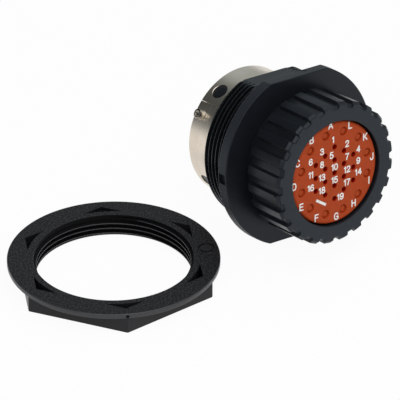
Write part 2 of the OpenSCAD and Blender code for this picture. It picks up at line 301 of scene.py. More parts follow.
def makePiece(name, mesh, stands=(), sharp=32, place=lying, body="receptacle"):
    # welds and places a mesh, turns its faces outward, shades it, hangs it under its body's empty and hides
    # the CAD parts that it stands for
    work = bmesh.new()
    work.from_mesh(mesh)
    bmesh.ops.remove_doubles(work, verts=work.verts, dist=weld)
    bmesh.ops.dissolve_degenerate(work, edges=work.edges, dist=sliver)
    bmesh.ops.recalc_face_normals(work, faces=work.faces)
    bmesh.ops.transform(work, matrix=place, verts=work.verts)
    work.to_mesh(mesh)
    work.free()
    mesh.shade_smooth()
    mesh.set_sharp_from_angle(angle=radians(sharp))
    piece = bpy.data.objects.new(name, mesh)
    scene.collection.objects.link(piece)
    weighted = piece.modifiers.new("even shading", "WEIGHTED_NORMAL")
    weighted.keep_sharp = True
    graph = bpy.context.evaluated_depsgraph_get()
    shaded = bpy.data.meshes.new_from_object(piece.evaluated_get(graph), depsgraph=graph)
    piece.modifiers.remove(weighted)
    finish = next(material for material in shaded.materials if material)
    shaded.materials.clear()  # cutting leaves empty slots behind
    shaded.materials.append(finish)
    piece.data = shaded
    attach(piece, body)
    if stands:
        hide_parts(*stands)
    print("made", name, len(shaded.polygons), "faces")
    return piece


def finishWhere(piece, *choices, place=lying):
    # gives a face the finish of the first choice that its middle, as drawn, its radius and its normal meet
    back = place.inverted()
    for finish, chosen in choices:
        piece.data.materials.append(finish)
    for polygon in piece.data.polygons:
        spot = back @ polygon.center
        for index, (finish, chosen) in enumerate(choices):
            if chosen(spot, hypot(spot.x, spot.y), polygon.normal):
                polygon.material_index = index + 1
                break


def newTree(name, floats="", vectors="", objects=""):
    tree = bpy.data.node_groups.new(name, "GeometryNodeTree")
    tree.interface.new_socket("Geometry", in_out="OUTPUT", socket_type="NodeSocketGeometry")
    for kind, labels in (("Geometry", "Geometry"), ("Float", floats), ("Vector", vectors),
                         ("Object", objects), ("Material", "Finish")):
        for label in labels.split():
            tree.interface.new_socket(label, in_out="INPUT", socket_type="NodeSocket" + kind)
    add = partial(addNode, tree)
    return tree, add, add("NodeGroupInput").outputs


def endTree(tree, given, geometry):
    whole = addNode(tree, "GeometryNodeRealizeInstances", {"Geometry": geometry})
    finished = addNode(tree, "GeometryNodeSetMaterial", {"Geometry": whole, "Material": given["Finish"]})
    addNode(tree, "NodeGroupOutput", {"Geometry": finished})


# a helical ridge: a trapezoid swept up a spiral, faded at both ends and cut off level at a flat
turnPoints = 144  # points in each turn of the spiral
fadeTurns, fadeFrom = 0.12, 0.05  # how far an end fades, and to what share of its size
threadTree, add, given = newTree(
    "thread ridge", "Radius Pitch Turns Depth Crest Root Soften Level", "Lean Start")
climb = add("ShaderNodeMath", {0: given["Pitch"], 1: given["Turns"]}, operation="MULTIPLY")
spiral = add("GeometryNodeCurveSpiral", {
    "Resolution": turnPoints, "Rotations": given["Turns"], "Start Radius": given["Radius"],
    "End Radius": given["Radius"], "Height": climb, "Reverse": True})
upright = add("GeometryNodeSetCurveNormal", {"Curve": spiral}, mode="Z_UP")
profile = add("GeometryNodeCurvePrimitiveQuadrilateral", {
    "Bottom Width": given["Root"], "Top Width": given["Crest"], "Height": given["Depth"], "Offset": 0.0},
    mode="TRAPEZOID")
leaning = add("GeometryNodeTransform", {"Geometry": profile, "Rotation": given["Lean"]})
softProfile = add("GeometryNodeFilletCurve", {
    "Curve": leaning, "Count": 3, "Radius": given["Soften"], "Limit Radius": True}, mode="POLY")
along = add("GeometryNodeSplineParameter").outputs["Factor"]
toEnd = add("ShaderNodeMath", {0: 1.0, 1: along}, operation="SUBTRACT")
nearEnd = add("ShaderNodeMath", {0: along, 1: toEnd}, operation="MINIMUM")
turnsLeft = add("ShaderNodeMath", {0: nearEnd, 1: given["Turns"]}, operation="MULTIPLY")
fade = add("ShaderNodeMapRange", {0: turnsLeft, 1: 0.0, 2: fadeTurns, 3: fadeFrom, 4: 1.0})
ridge = add("GeometryNodeCurveToMesh", {
    "Curve": upright, "Profile Curve": softProfile, "Scale": fade, "Fill Caps": True})
risen = add("GeometryNodeTransform", {"Geometry": ridge, "Translation": given["Start"]})
point = add("GeometryNodeInputPosition")
here = add("ShaderNodeSeparateXYZ", {0: point}).outputs
capped = add("ShaderNodeMath", {0: here[1], 1: given["Level"]}, operation="MINIMUM")
level = add("ShaderNodeCombineXYZ", {0: here[0], 1: capped, 2: here[2]})
endTree(threadTree, given, add("GeometryNodeSetPosition", {"Geometry": risen, "Position": level}))

# ribs round a turned blank: a cosine of the angle says where the grooves are, which are pushed in towards
# the axis between the two radii
ribSoftness = 0.16  # how far a rib's edge and foot are rounded, as a share of its depth
ribTree, add, given = newTree("ribbing", "Count Phase Top Floor Depth Inner Outer")
point = add("GeometryNodeInputPosition")
here = add("ShaderNodeSeparateXYZ", {0: point}).outputs
angle = add("ShaderNodeMath", {0: here[1], 1: here[0]}, operation="ARCTAN2")
counted = add("ShaderNodeMath", {0: angle, 1: given["Count"], 2: given["Phase"]}, operation="MULTIPLY_ADD")
wave = add("ShaderNodeMath", {0: counted}, operation="COSINE")
wall = add("ShaderNodeMapRange", {0: wave, 1: given["Top"], 2: given["Floor"]}, clamp=False)
foot = add("ShaderNodeMath", {0: wall, 1: 1.0, 2: ribSoftness}, operation="SMOOTH_MIN")
groove = add("ShaderNodeMath", {0: foot, 1: 0.0, 2: ribSoftness}, operation="SMOOTH_MAX")
flat = add("ShaderNodeCombineXYZ", {0: here[0], 1: here[1]})
radius = add("ShaderNodeVectorMath", {0: flat}, operation="LENGTH").outputs["Value"]
reach = add("ShaderNodeMapRange", {
    0: radius, 1: given["Inner"], 2: given["Outer"], 4: given["Depth"]}, interpolation_type="SMOOTHSTEP")
push = add("ShaderNodeMath", {0: groove, 1: reach}, operation="MULTIPLY")
outward = add("ShaderNodeVectorMath", {0: flat}, operation="NORMALIZE")
inset = add("ShaderNodeVectorMath", {0: outward, "Scale": push}, operation="SCALE")
there = add("ShaderNodeVectorMath", {0: point, 1: inset}, operation="SUBTRACT")
endTree(ribTree, given, add("GeometryNodeSetPosition", {"Geometry": given["Geometry"], "Position": there}))


def placedCopies(add, given, label):
    # one copy of a shape at each place, turned to face away from the axis where Facing is 1
    shape = add("GeometryNodeObjectInfo", {"Object": given[label]}).outputs["Geometry"]
    spots = add("GeometryNodeObjectInfo", {"Object": given["Places"]}).outputs["Geometry"]
    where = add("ShaderNodeSeparateXYZ", {0: add("GeometryNodeInputPosition")}).outputs
    polar = add("ShaderNodeMath", {0: where[1], 1: where[0]}, operation="ARCTAN2")
    turned = add("ShaderNodeMath", {0: polar, 1: given["Facing"]}, operation="MULTIPLY")
    facing = add("FunctionNodeAxisAngleToRotation", {"Axis": (0, 0, 1), "Angle": turned})
    copies = add("GeometryNodeInstanceOnPoints", {"Points": spots, "Instance": shape, "Rotation": facing})
    return add("GeometryNodeRealizeInstances", {"Geometry": copies})


# holes, recesses and notches: a cutter taken away at each place
punchTree, add, given = newTree("punched", "Facing", objects="Cutter Places")
endTree(punchTree, given, add("GeometryNodeMeshBoolean", {
    "Mesh 1": given["Geometry"], "Mesh 2": placedCopies(add, given, "Cutter")},
    operation="DIFFERENCE", solver="EXACT"))

# small parts set round the axis
plantTree, add, given = newTree("planted", "Facing", objects="Part Places")
endTree(plantTree, given, placedCopies(add, given, "Part"))

# pad print: a round pen follows each run of points, and the ink is flattened on to the face
strokeStep = 0.1  # millimetres between the points of a stroke
nibSides, tipRings = 8, 6
printTree, add, given = newTree("pen strokes", "Pen", "Flatten Spot")
runs = add("GeometryNodeMeshToCurve", {"Mesh": given["Geometry"]})
smooth = add("GeometryNodeCurveSplineType", {"Curve": runs}, spline_type="CATMULL_ROM")
strokes = add("GeometryNodeResampleCurve", {"Curve": smooth, "Length": strokeStep}, mode="LENGTH")
half = add("ShaderNodeMath", {0: given["Pen"], 1: 0.5}, operation="MULTIPLY")
nib = add("GeometryNodeCurvePrimitiveCircle", {"Resolution": nibSides, "Radius": half})
lines = add("GeometryNodeCurveToMesh", {"Curve": strokes, "Profile Curve": nib, "Fill Caps": True})
tip = add("GeometryNodeMeshUVSphere", {"Segments": nibSides, "Rings": tipRings, "Radius": half})
tips = add("GeometryNodeInstanceOnPoints", {
    "Points": strokes, "Selection": add("GeometryNodeCurveEndpointSelection"), "Instance": tip})
ink = add("GeometryNodeJoinGeometry", {0: tips})
printTree.links.new(lines.outputs[0], ink.inputs[0])
endTree(printTree, given, add("GeometryNodeTransform", {
    "Geometry": ink, "Translation": given["Spot"], "Scale": given["Flatten"]}))
print("node trees made:", len(bpy.data.node_groups))


def punched(mesh, finish, *cuts):
    # takes each cutter away at its places; facing 1 turns it away from the axis
    for cutter, spots, facing in cuts:
        mesh = bakeTree(mesh.name, punchTree, {
            "Cutter": cutter, "Places": places(spots), "Facing": float(facing), "Finish": finish}, mesh)
    return mesh


def planted(name, part, spots, finish):
    return bakeTree(name, plantTree, {"Part": part, "Places": places(spots), "Facing": 1.0, "Finish": finish})


def blockCutter(x0, x1, width, z0, z1, soften):
    # a softened block from x0 to x1, standing across the x axis
    section = rounded([(-width / 2, z0, soften), (width / 2, z0, soften), (width / 2, z1, soften),
                       (-width / 2, z1, soften)], 3)
    return lofted("block", [[(x, y, z) for y, z in section] for x in (x0, x1)])


def roundCutter(profile, steps=40, closed=False):
    # a turned shape along x, from pairs of place and radius; a closed profile makes a ring
    turns = [tau * k / steps for k in range(steps)]
    return lofted("round", [[(x, r * cos(t), r * sin(t)) for t in turns] for x, r in profile], closed)


def drill(profile, steps=32, closed=False):
    # a turned shape along z, from pairs of height and radius; a closed profile makes a ring
    return lofted("drill", [circle(r, z, evenAngles(steps)) for z, r in profile], closed)


past = 1  # how far a cutter reaches past what it cuts

# housing: flange with two flats, thread core with a flat on top, barrel and neck in one moulding
housingLow, housingHigh = localBox("housing")
shellLow, shellHigh = localBox("bayonet_shell")
ringLow, ringHigh = localBox("grip_ring")
housing = {
    "cavityR": 16.25, "barrelR": 18.45, "slotR": 19.45, "slotFloor": shellHigh.z, "threadEnd": -12.4,
    "coreR": 22.2, "threadR": 23.1, "threadFlat": 20.85, "flangeR": housingHigh.x,
    "flangeFlat": housingHigh.y, "flangeT": 3.6, "neckR": 19.0, "boreR": 17.2, "seat": -11.45,
    "front": housingLow.z, "rear": housingHigh.z, "steps": 240, "edge": 0.3, "endEdge": 0.35,
    "slotEdge": 0.15, "boreEdge": 0.2, "flangeFoot": 0.2, "flatsFrom": 20, "rimBand": 0.1,
    "keyDepth": 0.9, "keyReach": 1.5, "keyEdge": 0.2, "mainKey": (90, 3.2),
    "minorKeys": (15, 165, 230, 310), "minorWidth": 2.0, "gateAngle": 182, "gateLength": 3.0,
    "gateWidth": 2.8, "gateDepth": 1.0, "gateEdge": 0.3, "markX": 3.3, "markZ": 1.2, "markR": 1.1,
    "markDepth": 0.12}
h = housing
outline = rounded([
    (h["cavityR"], h["front"], h["edge"]), (h["barrelR"], h["front"], h["endEdge"]),
    (h["barrelR"], h["slotFloor"], 0), (h["slotR"], h["slotFloor"], 0),
    (h["slotR"], h["threadEnd"], h["slotEdge"]), (h["coreR"], h["threadEnd"], h["edge"]),
    (h["coreR"], 0, h["flangeFoot"]), (h["flangeR"], 0, h["edge"]),
    (h["flangeR"], h["flangeT"], h["edge"]), (h["neckR"], h["flangeT"], 0),
    (h["neckR"], h["rear"], h["endEdge"]), (h["boreR"], h["rear"], h["boreEdge"]),
    (h["boreR"], h["seat"], 0), (h["cavityR"], h["seat"], 0)])
flangeCorner = degrees(asin(h["flangeFlat"] / h["flangeR"]))
coreCorner = degrees(asin(h["threadFlat"] / h["coreR"]))
angles = evenAngles(h["steps"], [flangeCorner, 180 - flangeCorner, -flangeCorner, flangeCorner - 180,
                                 coreCorner, 180 - coreCorner])
rings = []
for r, z in outline:
    hoop = circle(r, z, angles)
    if r > h["flatsFrom"] and z >= 0:  # flange flats, with their edges rounded like the rim's
        limit = h["flangeFlat"] - min(h["flangeR"] - r, h["edge"])
        hoop = [(x, max(-limit, min(limit, y)), z) for x, y, z in hoop]
    elif r > h["flatsFrom"]:  # flat on top of the thread
        limit = h["threadFlat"] - min(h["coreR"] - r, h["edge"])
        hoop = [(x, min(limit, y), z) for x, y, z in hoop]
    rings.append(hoop)
housingMesh = lofted("housing", rings, closed=True)
for angle, width in [h["mainKey"]] + [(a, h["minorWidth"]) for a in h["minorKeys"]]:
    keyway = blockCutter(-h["keyReach"], h["keyDepth"], width, h["front"] - 2 * past, h["seat"], h["keyEdge"])
    housingMesh = punched(housingMesh, polyamide, (keyway, circle(h["cavityR"], 0, [angle]), 1))
gateLow, gateHigh = (h["flangeT"] / 2 + side * h["gateWidth"] / 2 for side in (-1, 1))
gate = blockCutter(-h["gateDepth"], 2 * past, h["gateLength"], gateLow, gateHigh, h["gateEdge"])
markTurn = Matrix.Rotation(radians(90), 4, "Z")  # up, because the ejector's mark is on the upper flat
ejector = roundCutter([(-h["markDepth"], h["markR"]), (past, h["markR"])])
ejector.transform(Matrix.Translation((h["markX"], h["flangeFlat"], h["markZ"])) @ markTurn)
housingMesh = punched(housingMesh, polyamide, (gate, circle(h["flangeR"], 0, [h["gateAngle"]]), 1),
                      (ejector, [(0, 0, 0)], 0))
housingPiece = makePiece("housing-moulding", housingMesh, ["housing"], sharp=20)
# painted light: the flange's rim takes the paler blasted finish
finishWhere(housingPiece, (blastedPaintedLight, lambda spot, r, normal: (  # the flange's rim
    h["edge"] < spot.z < h["flangeT"] - h["edge"] and r > h["flangeR"] - h["rimBand"])))

# panel thread, sixteen to the inch, and the finer thread on the neck that carries the grip ring
sunk = 0.08  # how deep a ridge sits in its core
outwards, inwards = (0, 0, -pi / 2), (0, 0, pi / 2)  # which way a ridge's crest points
noFlat = 100.0  # a level that cuts nothing off
panelThread = {"Radius": (h["coreR"] + h["threadR"] - sunk) / 2, "Pitch": 25.4 / 16, "Turns": 7.3,
               "Depth": h["threadR"] - h["coreR"] + sunk, "Crest": 0.28, "Root": 0.95, "Soften": 0.08,
               "Lean": outwards, "Start": (0, 0, h["threadEnd"] + 0.45), "Level": h["threadFlat"] - 0.03,
               "Finish": threadGloss}
makePiece("panel-thread", bakeTree("panel thread", threadTree, panelThread))
neckThread = {"Radius": h["neckR"] + 0.09, "Pitch": 1.5, "Turns": 5.2, "Depth": 0.3, "Crest": 0.35,
              "Root": 1.0, "Soften": 0.06, "Lean": outwards, "Start": (0, 0, 6.15), "Level": noFlat,
              "Finish": polyamide}
makePiece("neck-thread", bakeTree("neck thread", threadTree, neckThread))

# bayonet shell: rolled sleeve with snap holes and a butt seam
shell = {"inR": 18.5, "outR": shellHigh.x, "steps": 288, "edge": 0.2, "rearEdge": 0.1, "through": 3,
         "holeR": 2.45, "flare": 0.12, "holeSetback": 4.2, "holeAngles": (125, 215, 305), "seamAngle": 139,
         "seamGap": 0.14, "seamLip": 0.015, "seamFlare": (0.4, 0.5),  # height and widening
         "shankR": 0.8, "pinSetback": 3.0, "pinAngles": (150.5, 270.5, 30.5)}
outline = rounded([
    (shell["inR"], shellLow.z, shell["edge"]), (shell["outR"], shellLow.z, shell["edge"]),
    (shell["outR"], shellHigh.z, shell["rearEdge"]), (shell["inR"], shellHigh.z, shell["rearEdge"])])
angles = evenAngles(shell["steps"])
shellMesh = lofted("bayonet shell", [circle(r, z, angles) for r, z in outline], closed=True)
holeSpots = circle(shell["outR"], shellLow.z + shell["holeSetback"], shell["holeAngles"])
pinSpots = circle(shell["outR"], shellLow.z + shell["pinSetback"], shell["pinAngles"])
hole = roundCutter([
    (-shell["through"], shell["holeR"]), (-shell["flare"], shell["holeR"]),
    (past / 2, shell["holeR"] + shell["flare"] + past / 2)])
shank = roundCutter([(-shell["through"], shell["shankR"]), (past, shell["shankR"])], 24)
half, (flareTop, flareWide) = shell["seamGap"] / 2, shell["seamFlare"]
seamLow, seamHigh = shellLow.z - past, shellHigh.z + past
seam = lofted("seam", [[(x, -w, seamLow), (x, w, seamLow), (x, w, seamHigh), (x, -w, seamHigh)] for x, w in (
    (-shell["through"], half), (-shell["seamLip"], half), (flareTop, half + flareWide))])
shellMesh = punched(shellMesh, nickel, (hole, holeSpots, 1), (shank, pinSpots, 1),
                    (seam, circle(shell["outR"], 0, [shell["seamAngle"]]), 1))
makePiece("bayonet-shell", shellMesh, ["bayonet_shell"])

# snap lugs of the barrel, seen in the shell's holes
lug = {"radius": 2.33, "top": -0.32, "root": -1.6,
       "shoulder": ((-0.25, 0), (-0.08, 0.08), (0, 0.28), (0.06, 0.9))}  # height over the top, and inset
lugShape = roundCutter([(lug["root"], lug["radius"])] + [
    (lug["top"] + up, lug["radius"] - inset) for up, inset in lug["shoulder"]])
makePiece("snap-lugs", planted("snap lugs", lugShape, holeSpots, polyamide))

# bayonet pins, riveted through the shell and dimpled in the end
pin = {"radius": 1.45, "proud": 2.0, "shank": 0.72, "shankEnd": -0.85,
       "collar": ((-0.03, 0.12), (0.06, 0.1), (0.2, 0)),  # height, and how far it stands out
       "edge": ((0.18, 0), (0.05, 0.06), (0, 0.18)),  # depth under the end, and inset
       "dimple": ((0, 0.83), (0.05, 0.75), (0.36, 0.6), (0.45, 0.3))}  # depth under the end, and radius
pinShape = roundCutter([(pin["shankEnd"], pin["shank"]), (pin["collar"][0][0], pin["shank"])]
                       + [(up, pin["radius"] + out) for up, out in pin["collar"]]
                       + [(pin["proud"] - down, pin["radius"] - inset) for down, inset in pin["edge"]]
                       + [(pin["proud"] - down, r) for down, r in pin["dimple"]])
makePiece("bayonet-pins", planted("bayonet pins", pinShape, pinSpots, turnedNickel),
          ["bayonet_pin_1", "bayonet_pin_2", "bayonet_pin_3"])

# wire grommet: silicone with shallow recesses over the large cavities and small through holes
grommetLow, grommetHigh = localBox("wire_grommet")
sealLow, sealHigh = localBox("interface_seal")
grommet = {"topR": 15.6, "shoulder": 15.55, "steps": 192, "edge": 0.9, "footEdge": 0.2, "rimEdge": 0.25,
           "stepEdge": 0.15, "largeRing": 12.5, "largeCount": 12, "smallPitch": 4.0,
           "smallRows": (3, 4, 5, 4, 3), "recessR": 1.35, "recessDepth": 0.35, "holeR": 0.8,
           "holeDepth": 20, "flare": 0.06, "wallBand": 0.02,
           "dome": ((0, 0.35), (0.04, 0.7), (0.14, 0.95), (0.34, 1.14), (0.5, 1.22)),  # drop and radius
           "moat": ((0.5, 0.04), (0.4, 0)),  # drop, and inset from the recess's wall
           "recessMouth": ((-1, 0), (-0.45, 0.2), (-0.1, 0.6)),  # height and widening, in flares
           "holeMouth": ((-1.5, 0), (-0.6, 0.25), (-0.1, 0.7))}
g = grommet
largeAngles = [90 + (k + 0.5) * 360 / g["largeCount"] for k in range(g["largeCount"])]
columnGap = g["smallPitch"] * sin(radians(60))
smallSpots = []  # by columns from the left, each from the top down
for column, count in enumerate(g["smallRows"]):
    for k in range(count):
        smallSpots.append(((column - 2) * columnGap, ((count - 1) / 2 - k) * g["smallPitch"], column - 2))
drilledRings = (2.5, 5, 8, 11, 14)  # radii that part a drilled face into small pieces
mouthTop, mouthWide = 0.05, 1.1  # where a drill's mouth ends: a height, and a widening in flares


def drilledBlank(name, corners, steps):
    # a turned disc whose first and last corners lie on the axis
    outline = rounded(corners)[1:-1]
    outline = [(r, corners[0][1]) for r in drilledRings] + outline
    outline += [(r, corners[-1][1]) for r in reversed(drilledRings)]
    return lofted(name, [circle(r, z, evenAngles(steps)) for r, z in outline])


def mouth(r, curve):
    flared = [(up * g["flare"], r + out * g["flare"]) for up, out in curve]
    return flared + [(mouthTop, r + mouthWide * g["flare"])]


top = grommetHigh.z
grommetMesh = drilledBlank("wire grommet", [
    (0, grommetLow.z, 0), (grommetHigh.x, grommetLow.z, g["footEdge"]),
    (grommetHigh.x, g["shoulder"], g["rimEdge"]), (g["topR"], g["shoulder"], g["stepEdge"]),
    (g["topR"], top, g["edge"]), (0, top, 0)], g["steps"])
recess = drill([(-g["recessDepth"] - drop, r) for drop, r in g["dome"]]
               + [(-g["recessDepth"] - drop, g["recessR"] - inset) for drop, inset in g["moat"]]
               + mouth(g["recessR"], g["recessMouth"]))
wireHole = drill([(-g["holeDepth"], g["holeR"])] + mouth(g["holeR"], g["holeMouth"]), 24)
grommetMesh = punched(grommetMesh, silicone, (recess, circle(g["largeRing"], top, largeAngles), 1),
                      (wireHole, [(x, y, top) for x, y, column in smallSpots], 0))
grommetPiece = makePiece("wire-grommet", grommetMesh, ["wire_grommet"])
# painted shade on the walls of the wire holes
finishWhere(grommetPiece, (paintedShadeSilicone, lambda spot, r, normal: (  # the walls of the wire holes
    min(dist(spot.xy, hole[:2]) for hole in smallSpots) < g["holeR"] + g["wallBand"]
    and spot.z < top - g["flare"])))

# seal at the bottom of the mating bore, seen from the far end
seal = {"steps": 160, "edge": 0.15,
        "holeMouth": ((-0.05, 0.25), (0.05, 0.12), (0.2, 0))}  # height and widening
sealMesh = drilledBlank("interface seal", [
    (0, sealLow.z, 0), (sealHigh.x, sealLow.z, seal["edge"]), (sealHigh.x, sealHigh.z, seal["edge"]),
    (0, sealHigh.z, 0)], seal["steps"])
sealEnd = sealHigh.z - sealLow.z + past
largeHole, smallHole = (drill([(z, r + wider) for z, wider in seal["holeMouth"]] + [(sealEnd, r)])
                        for r in (g["recessR"], g["holeR"]))
sealMesh = punched(sealMesh, silicone, (largeHole, circle(g["largeRing"], sealLow.z, largeAngles), 1),
                   (smallHole, [(x, y, sealLow.z) for x, y, column in smallSpots], 0))
makePiece("interface-seal", sealMesh, ["interface_seal"])

# contact letters and numbers on the grommet's face, and a short bar
# a glyph is a list of pen strokes in hundredths of its height
stem = [(0, 0), (0, 100)]
openBowl = [(56, 78), (46, 95), (29, 100), (9, 88), (0, 50), (9, 12), (29, 0)]
glyphs = {
    "0": [[(27, 100), (8, 88), (0, 50), (8, 12), (27, 0), (46, 12), (54, 50), (46, 88), (27, 100)]],
    "1": [[(0, 78), (20, 100)], [(20, 100), (20, 0)]],
    "2": [[(0, 75), (7, 93), (26, 100), (45, 93), (52, 74), (42, 50), (20, 26), (0, 0)],
          [(0, 0), (54, 0)]],
    "3": [[(0, 80), (10, 96), (27, 100), (45, 93), (50, 76), (43, 60), (22, 54)],
          [(22, 54), (45, 46), (53, 27), (46, 7), (25, 0), (7, 6), (0, 22)]],
    "4": [[(42, 0), (42, 100)], [(42, 100), (0, 30)], [(0, 30), (58, 30)]],
    "5": [[(48, 100), (8, 100)], [(8, 100), (3, 50)],
          [(3, 50), (23, 61), (44, 54), (53, 32), (44, 8), (23, 0), (7, 5), (0, 20)]],
    "6": [[(50, 82), (42, 96), (28, 100), (8, 86), (0, 50), (5, 15), (26, 0), (46, 9), (54, 30), (46, 51),
           (28, 60), (10, 50), (2, 34)]],
    "7": [[(0, 100), (54, 100)], [(54, 100), (34, 60), (22, 25), (18, 0)]],
    "8": [[(27, 54), (9, 64), (5, 80), (13, 95), (27, 100), (41, 95), (49, 80), (45, 64), (27, 54), (7, 43),
           (0, 25), (9, 6), (27, 0), (45, 6), (54, 25), (47, 43), (27, 54)]],
    "A": [[(0, 0), (30, 100)], [(30, 100), (60, 0)], [(10, 33), (50, 33)]],
    "B": [stem, [(0, 100), (30, 100), (45, 92), (48, 77), (42, 60), (26, 54), (0, 54)],
          [(26, 54), (48, 46), (55, 27), (47, 6), (28, 0), (0, 0)]],
    "C": [openBowl + [(47, 6), (58, 26)]],
    "D": [stem, [(0, 100), (26, 100), (48, 87), (56, 50), (48, 13), (26, 0), (0, 0)]],
    "E": [stem, [(0, 100), (50, 100)], [(0, 53), (46, 53)], [(0, 0), (52, 0)]],
    "F": [stem, [(0, 100), (50, 100)], [(0, 52), (44, 52)]],
    "G": [openBowl + [(47, 5), (58, 18)], [(58, 18), (58, 46)], [(58, 46), (34, 46)]],
    "H": [stem, [(54, 0), (54, 100)], [(0, 53), (54, 53)]],
    "I": [stem],
    "J": [[(42, 100), (42, 28), (36, 6), (20, 0), (5, 7), (0, 30)]],
    "K": [stem, [(52, 100), (0, 38)], [(18, 58), (56, 0)]],
    "L": [stem, [(0, 0), (46, 0)]]}
glyphs["9"] = [[(54 - x, 100 - y) for x, y in run] for run in glyphs["6"]]
marks = {"letters": "ABCDEFGHIJKL", "letterSize": 1.92, "letterR": 14.25, "letterBack": 10.65,
         "letterShift": (-0.45, 0.5), "nudge": {"A": (0, 0.3), "C": (-0.35, -0.35), "D": (-0.25, 0),
                                                "H": (-0.5, 0), "I": (0.4, 0.1), "K": (0, -0.2)},
         "numbers": "6 11 16 3 8 13 18 1 5 10 15 19 2 7 12 17 4 9 14".split(), "numberSize": 1.72,
         "numberUp": (1.5, 1.7, 1.8, 1.9, 2.1), "numberRight": (-1.9, -1.22, 0, 1.15, 1.86),
         "special": {"1": (-0.65, 2.36), "5": (-1.16, 1.68), "19": (2.17, 0.05), "4": (1.84, 1.18),
                     "9": (1.82, 1.58)},
         "widen": 1.18, "spacing": 27, "pen": 0.4, "lift": 0.01, "body": 0.12, "bar": (-4.99, -7.99),
         "barLength": 3.9, "barWidth": 0.4, "barTurn": -32}
penRuns = []


def write(mark, size, x, y):
    # adds the strokes of a mark about its middle
    start, runs = 0, []
    for letter in mark:
        runs += [[(start + px, py) for px, py in run] for run in glyphs[letter]]
        start += max(px for run in glyphs[letter] for px, py in run) + marks["spacing"]
    middle, unit = (start - marks["spacing"]) / 2, size / 100
    for run in runs:
        penRuns.append([(x + (px - middle) * unit * marks["widen"], y + (py - 50) * unit, 0)
                        for px, py in run])


for letter, angle in zip(marks["letters"], largeAngles):
    turn = radians(angle - marks["letterBack"])
    shift = Vector(marks["letterShift"]) + Vector(marks["nudge"].get(letter, (0, 0)))
    write(letter, marks["letterSize"], shift.x + marks["letterR"] * cos(turn),
          shift.y + marks["letterR"] * sin(turn))
for number, (x, y, column) in zip(marks["numbers"], smallSpots):
    usual = (marks["numberRight"][column + 2], marks["numberUp"][column + 2])
    right, up = marks["special"].get(number, usual)
    write(number, marks["numberSize"], x + right, y + up)
barTurn = Matrix.Rotation(radians(marks["barTurn"]), 2)
halfLength, halfWidth = marks["barLength"] / 2, marks["barWidth"] / 2
for side in (-1, 1):  # two strokes side by side
    ends = [Vector(marks["bar"]) + barTurn @ Vector((end * halfLength, side * halfWidth)) for end in (-1, 1)]
    penRuns.append([(x, y, 0) for x, y in ends])
runMesh = bpy.data.meshes.new("pen runs")
runEdges, count = [], 0
for run in penRuns:
    runEdges += [(count + k, count + k + 1) for k in range(len(run) - 1)]
    count += len(run)
runMesh.from_pydata([point for run in penRuns for point in run], runEdges, [])
printMesh = bakeTree("contact marks", printTree, {
    "Pen": marks["pen"], "Flatten": (1.0, 1.0, marks["body"]), "Spot": (0.0, 0.0, top + marks["lift"]),
    "Finish": printInk}, runMesh)
makePiece("contact-marks", printMesh)

# grip ring: ribbed outside, with a lip over the grommet's shoulder
ring = {"outR": 21.55, "boreR": 19.3, "openingR": 15.95, "lip": 17.05, "chamfer": 0.72, "step": 0.28,
        "taper": 0.06, "edge": 0.3, "backEdge": 0.12, "chamferEdge": 0.05, "faceEdge": 0.1, "ribs": 24,
        "phase": 8.5, "share": 0.52, "slope": 0.07, "depth": 1.0, "grooveFrom": 19.5, "grooveFull": 20.4,
        "faceR": 19.0, "pits": ((184.25, 19.4), (168.25, 19.6)), "pitR": 0.72, "bossR": 0.38,
        "pitDepth": 0.3, "faceBand": 0.1, "faceSquare": 0.97}
ringBack, ringFace = ringLow.z, ringHigh.z
chamferR = ring["outR"] - ring["chamfer"]
outline = rounded([
    (ring["boreR"], ringBack, ring["edge"]), (ring["outR"], ringBack, ring["backEdge"]),
    (ring["outR"], ringFace - ring["step"] - ring["chamfer"], ring["backEdge"]),
    (chamferR, ringFace - ring["step"], ring["chamferEdge"]),
    (chamferR - ring["taper"], ringFace, ring["faceEdge"]), (ring["faceR"], ringFace, 0),
    (ring["openingR"], ringFace, ring["edge"]), (ring["openingR"], ring["lip"], 0),
    (ring["boreR"], ring["lip"], 0)])
ribEdge = ring["share"] / 2
wallSteps = (-6.6, -5.8, -5, -4.2, -3.4, 3.4, 4.2, 5, 5.8, 6.6)  # tenths of a slope, either side of a wall
ribSteps = [0, 0.5 * ribEdge, 0.4, 0.5]
ribSteps += [ribEdge + ring["slope"] * k / 10 for k in wallSteps]
ribAngles = evenAngles(1, [ring["phase"] + (k + side * step) * 360 / ring["ribs"]
                           for k in range(ring["ribs"]) for step in ribSteps for side in (1, -1)])
ringMesh = lofted("grip ring", [circle(r, z, ribAngles) for r, z in outline], closed=True)
ringMesh = bakeTree("grip ring", ribTree, {
    "Count": float(ring["ribs"]), "Phase": -radians(ring["phase"]) * ring["ribs"],
    "Top": cos(pi * (ring["share"] - ring["slope"])),
    "Floor": cos(pi * (ring["share"] + ring["slope"])), "Depth": ring["depth"],
    "Inner": ring["grooveFrom"], "Outer": ring["grooveFull"], "Finish": polyamide}, ringMesh)
pit = roundCutter([
    (-ring["pitDepth"], ring["pitR"]), (past, ring["pitR"]), (past, ring["bossR"]),
    (-ring["pitDepth"], ring["bossR"])], 24, closed=True)
ringMesh = punched(ringMesh, polyamide, *(
    (pit, circle(ring["outR"], z, [angle]), 1) for angle, z in ring["pits"]))
ringPiece = makePiece("grip-ring", ringMesh, ["grip_ring"], sharp=34, body="ring")
# painted light: the ring's end face takes the paler blasted finish
finishWhere(ringPiece, (blastedPaintedLight, lambda spot, r, normal: (  # the end face
    normal.dot(rearward) > ring["faceSquare"] and spot.z > ringFace - ring["faceBand"])))

